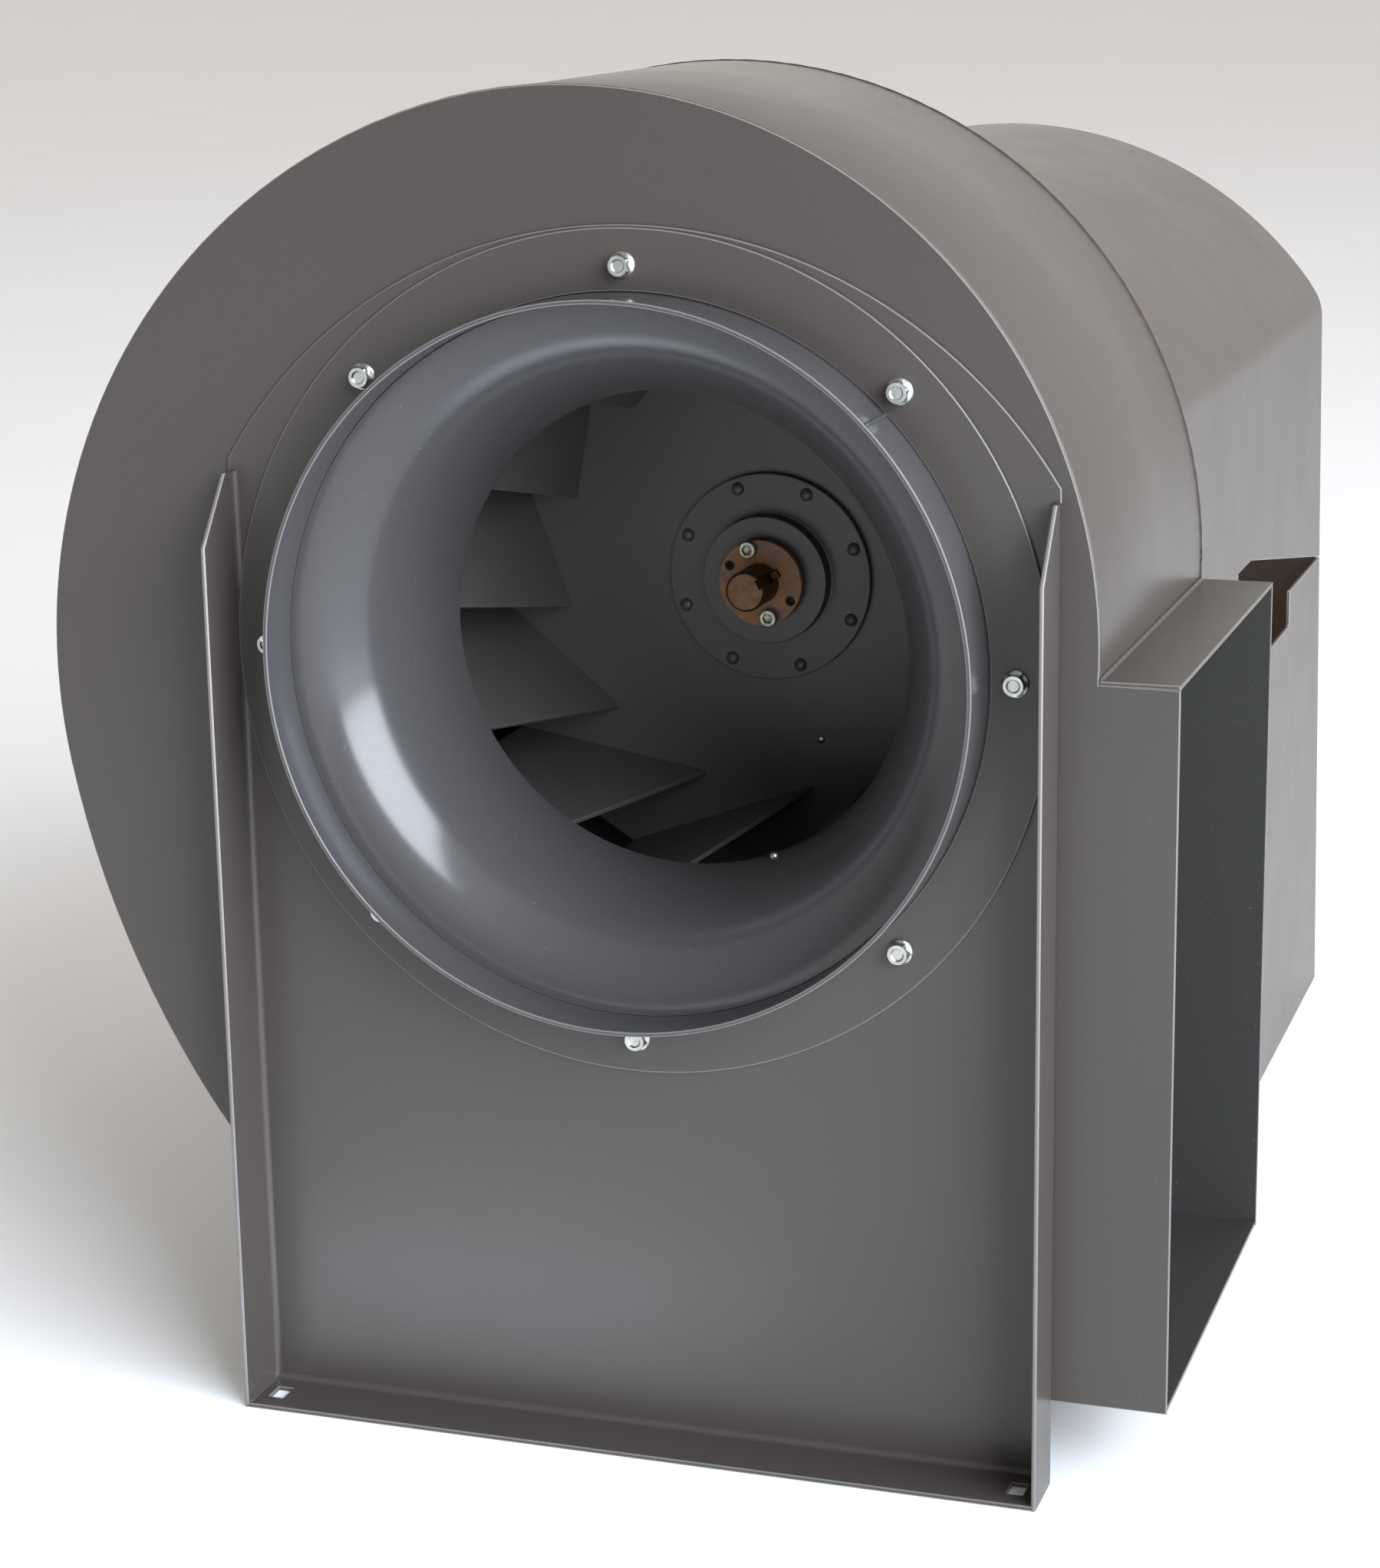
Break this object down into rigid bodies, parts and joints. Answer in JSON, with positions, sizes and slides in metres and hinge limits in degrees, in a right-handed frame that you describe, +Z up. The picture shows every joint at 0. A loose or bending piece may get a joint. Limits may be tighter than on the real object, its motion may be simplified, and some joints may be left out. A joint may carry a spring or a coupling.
{
  "type": "centrifugal combustion air fan",
  "caption": "Floor-standing belt-driven centrifugal blower: scroll with bottom outlet, bolted spun inlet bell, backward-inclined wheel and an arched drive hood.",
  "frame": {"origin": "on the floor under the shaft axis, in the front plane of the front pedestal plate", "axes": "+X towards the outlet side, +Y from the inlet along the shaft into the fan, +Z up"},
  "size_m": [0.7666, 1.1781, 0.8907],
  "materials": {
    "enamel": "semi-gloss warm grey enamel on sheet steel",
    "bell_enamel": "semi-gloss grey enamel on spun steel",
    "wheel_enamel": "satin dark grey enamel on steel plate",
    "zinc": "bright zinc plating",
    "rusty_iron": "bare iron with a film of rust",
    "bright_steel": "ground steel, lightly oxidised",
    "cast_iron": "painted iron casting",
    "motor_enamel": "semi-gloss blue-grey enamel",
    "belt_rubber": "matt black rubber"
  },
  "bodies": {
    "housing": {"front_pedestal": "enamel", "inlet_ring": "enamel", "scroll_front_panel": "enamel", "scroll_rear_panel": "enamel", "scroll_wrap": "enamel", "cutoff_lip": "enamel", "drive_front_plate": "enamel", "drive_rear_plate": "enamel", "side_panel_left": "enamel", "side_panel_right": "enamel", "drive_hood": "enamel", "bearing_pedestal": "enamel", "motor_shelf": "enamel", "inlet_bell": "bell_enamel", "inlet_collar": "bell_enamel", "ring_bolt_1": "zinc", "ring_bolt_2": "zinc", "ring_bolt_3": "zinc", "ring_bolt_4": "zinc", "ring_bolt_5": "zinc", "ring_bolt_6": "zinc", "ring_bolt_7": "zinc", "ring_bolt_8": "zinc", "bearing_bolt_front_left": "zinc", "bearing_bolt_front_right": "zinc", "bearing_bolt_rear_left": "zinc", "bearing_bolt_rear_right": "zinc", "bearing_housing_front": "cast_iron", "bearing_housing_rear": "cast_iron", "motor_slide_base": "cast_iron", "motor_frame": "motor_enamel", "motor_cowl": "motor_enamel", "terminal_box": "motor_enamel", "v_belt": "belt_rubber"},
    "wheel_rotor": {"wheel_backplate": "wheel_enamel", "wheel_shroud": "wheel_enamel", "blade_01": "wheel_enamel", "blade_02": "wheel_enamel", "blade_03": "wheel_enamel", "blade_04": "wheel_enamel", "blade_05": "wheel_enamel", "blade_06": "wheel_enamel", "blade_07": "wheel_enamel", "blade_08": "wheel_enamel", "blade_09": "wheel_enamel", "blade_10": "wheel_enamel", "blade_11": "wheel_enamel", "blade_12": "wheel_enamel", "wheel_hub": "wheel_enamel", "taper_bushing": "rusty_iron", "cap_screw_1": "zinc", "cap_screw_2": "zinc", "fan_shaft": "bright_steel", "shaft_key": "bright_steel", "bearing_inner_front": "bright_steel", "bearing_inner_rear": "bright_steel", "fan_sheave": "cast_iron"},
    "motor_rotor": {"motor_shaft": "bright_steel", "motor_sheave": "cast_iron"}
  },
  "joints": [
    {"name": "wheel_spin", "type": "hinge", "parent": "housing", "child": "wheel_rotor", "pos_m": [0, 0, 0.53], "axis": [0, -1, 0], "continuous": true},
    {"name": "motor_spin", "type": "hinge", "parent": "housing", "child": "motor_rotor", "pos_m": [0, 0, 0.241], "axis": [0, -1, 0], "continuous": true}
  ],
  "couplings": [
    {"joint": "motor_spin", "follows": "wheel_spin", "ratio": 1.4694}
  ]
}
